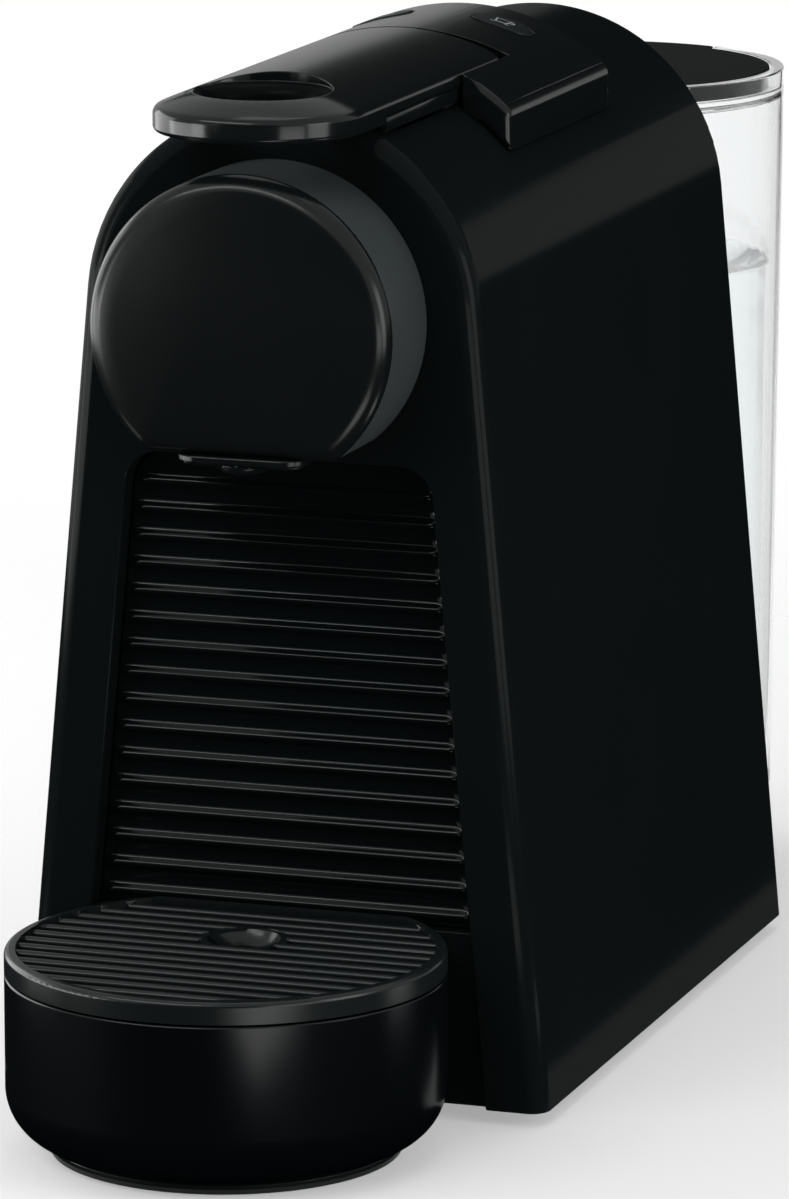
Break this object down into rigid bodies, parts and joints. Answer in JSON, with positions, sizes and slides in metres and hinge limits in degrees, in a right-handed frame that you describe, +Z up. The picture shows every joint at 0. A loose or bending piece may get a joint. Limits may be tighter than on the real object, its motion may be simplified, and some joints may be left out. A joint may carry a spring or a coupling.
{
  "type": "pod coffee machine",
  "caption": "Compact capsule coffee machine with an arched body, round outlet head, top lever, drip tray with bar grid and a clear water tank behind.",
  "frame": {"origin": "centre of the overall footprint, on the surface the machine stands on", "axes": "+Z up, +X to the machine's right seen from behind it, front (outlet head and drip tray) towards -Y"},
  "size_m": [0.11, 0.325, 0.2053],
  "materials": {
    "shell": "satin gloss",
    "front": "satin gloss",
    "rib": "satin",
    "lever": "high gloss",
    "head": "satin",
    "bowl": "high gloss",
    "grid": "satin",
    "button": "satin",
    "lid": "gloss",
    "tank": "clear plastic, thin wall",
    "inner": "fine grain",
    "stand": "fine grain",
    "feet": "matte",
    "seal": "matte silicone",
    "steel": "plain",
    "screw": "dark zinc",
    "alloy": "die cast",
    "coil": "moulded coil case",
    "brass": "machined",
    "board": "solder mask",
    "hose": "silicone",
    "meter": "moulded",
    "poppet": "matte"
  },
  "bodies": {
    "machine": {"body_shell": "shell", "rear_cover": "stand", "base_plate": "stand", "foot_pads": "feet", "bridge_cover": "lever", "switch_board": "board", "brew_frame": "inner", "hinge_pin": "steel", "extraction_plate": "steel", "outlet_duct": "inner", "outlet_collar": "head", "outlet_cap": "head", "spout_nozzle": "head", "thermoblock": "alloy", "thermostats": "steel", "pump_coil": "coil", "pump_barrel": "brass", "pump_mounts": "feet", "flow_meter": "meter", "suction_hose": "hose", "pressure_hose": "hose", "control_board": "board", "cord_gland": "feet", "case_screws": "screw", "tank_stand": "stand", "dock_seal": "seal", "dock_pin": "inner"},
    "lever": {"lever_handle": "lever", "lever_cams": "inner"},
    "cage": {"pod_cage": "alloy", "cage_carriage": "inner", "piercing_needles": "steel", "water_tube": "steel"},
    "small_cup_key": {"small_cup_button": "button"},
    "large_cup_key": {"large_cup_button": "button"},
    "service_module": {"module_base": "front", "front_panel": "rib", "pod_container": "inner"},
    "drip_tray": {"drip_bowl": "bowl", "bowl_foot": "grid"},
    "cup_support": {"cup_grid": "grid"},
    "tank": {"water_tank": "tank", "valve_seat": "inner", "valve_spring": "steel"},
    "tank_valve": {"valve_poppet": "poppet"},
    "lid": {"tank_lid": "lid"}
  },
  "joints": [
    {"name": "lever_hinge", "type": "hinge", "parent": "machine", "child": "lever", "pos_m": [0, -0.02785, 0.192], "axis": [-1, 0, 0], "range_deg": [0, 85]},
    {"name": "cage_slide", "type": "slide", "parent": "machine", "child": "cage", "axis": [0, 1, 0], "range_m": [0, 0.026]},
    {"name": "small_cup_press", "type": "slide", "parent": "machine", "child": "small_cup_key", "axis": [0, 0, -1], "range_m": [0, 0.001], "stiffness_N_per_m": 900},
    {"name": "large_cup_press", "type": "slide", "parent": "machine", "child": "large_cup_key", "axis": [0, 0, -1], "range_m": [0, 0.001], "stiffness_N_per_m": 900},
    {"name": "module_slide", "type": "slide", "parent": "machine", "child": "service_module", "axis": [0, -1, 0], "range_m": [0, 0.095]},
    {"name": "tray_pull", "type": "slide", "parent": "service_module", "child": "drip_tray", "axis": [0, -1, 0], "range_m": [0, 0.03]},
    {"name": "grid_lift", "type": "slide", "parent": "drip_tray", "child": "cup_support", "axis": [0, 0, 1], "range_m": [0, 0.03]},
    {"name": "tank_lift", "type": "slide", "parent": "machine", "child": "tank", "axis": [0, 0, 1], "range_m": [0, 0.06]},
    {"name": "lid_lift", "type": "slide", "parent": "tank", "child": "lid", "axis": [0, 0, 1], "range_m": [0, 0.04]},
    {"name": "tank_valve_close", "type": "slide", "parent": "tank", "child": "tank_valve", "axis": [0, 0, -1], "range_m": [0, 0.003]}
  ],
  "couplings": [
    {"joint": "tank_valve_close", "follows": "tank_lift", "ratio": 0.05},
    {"joint": "cage_slide", "follows": "lever_hinge", "m_per_rad": 0.017526}
  ]
}
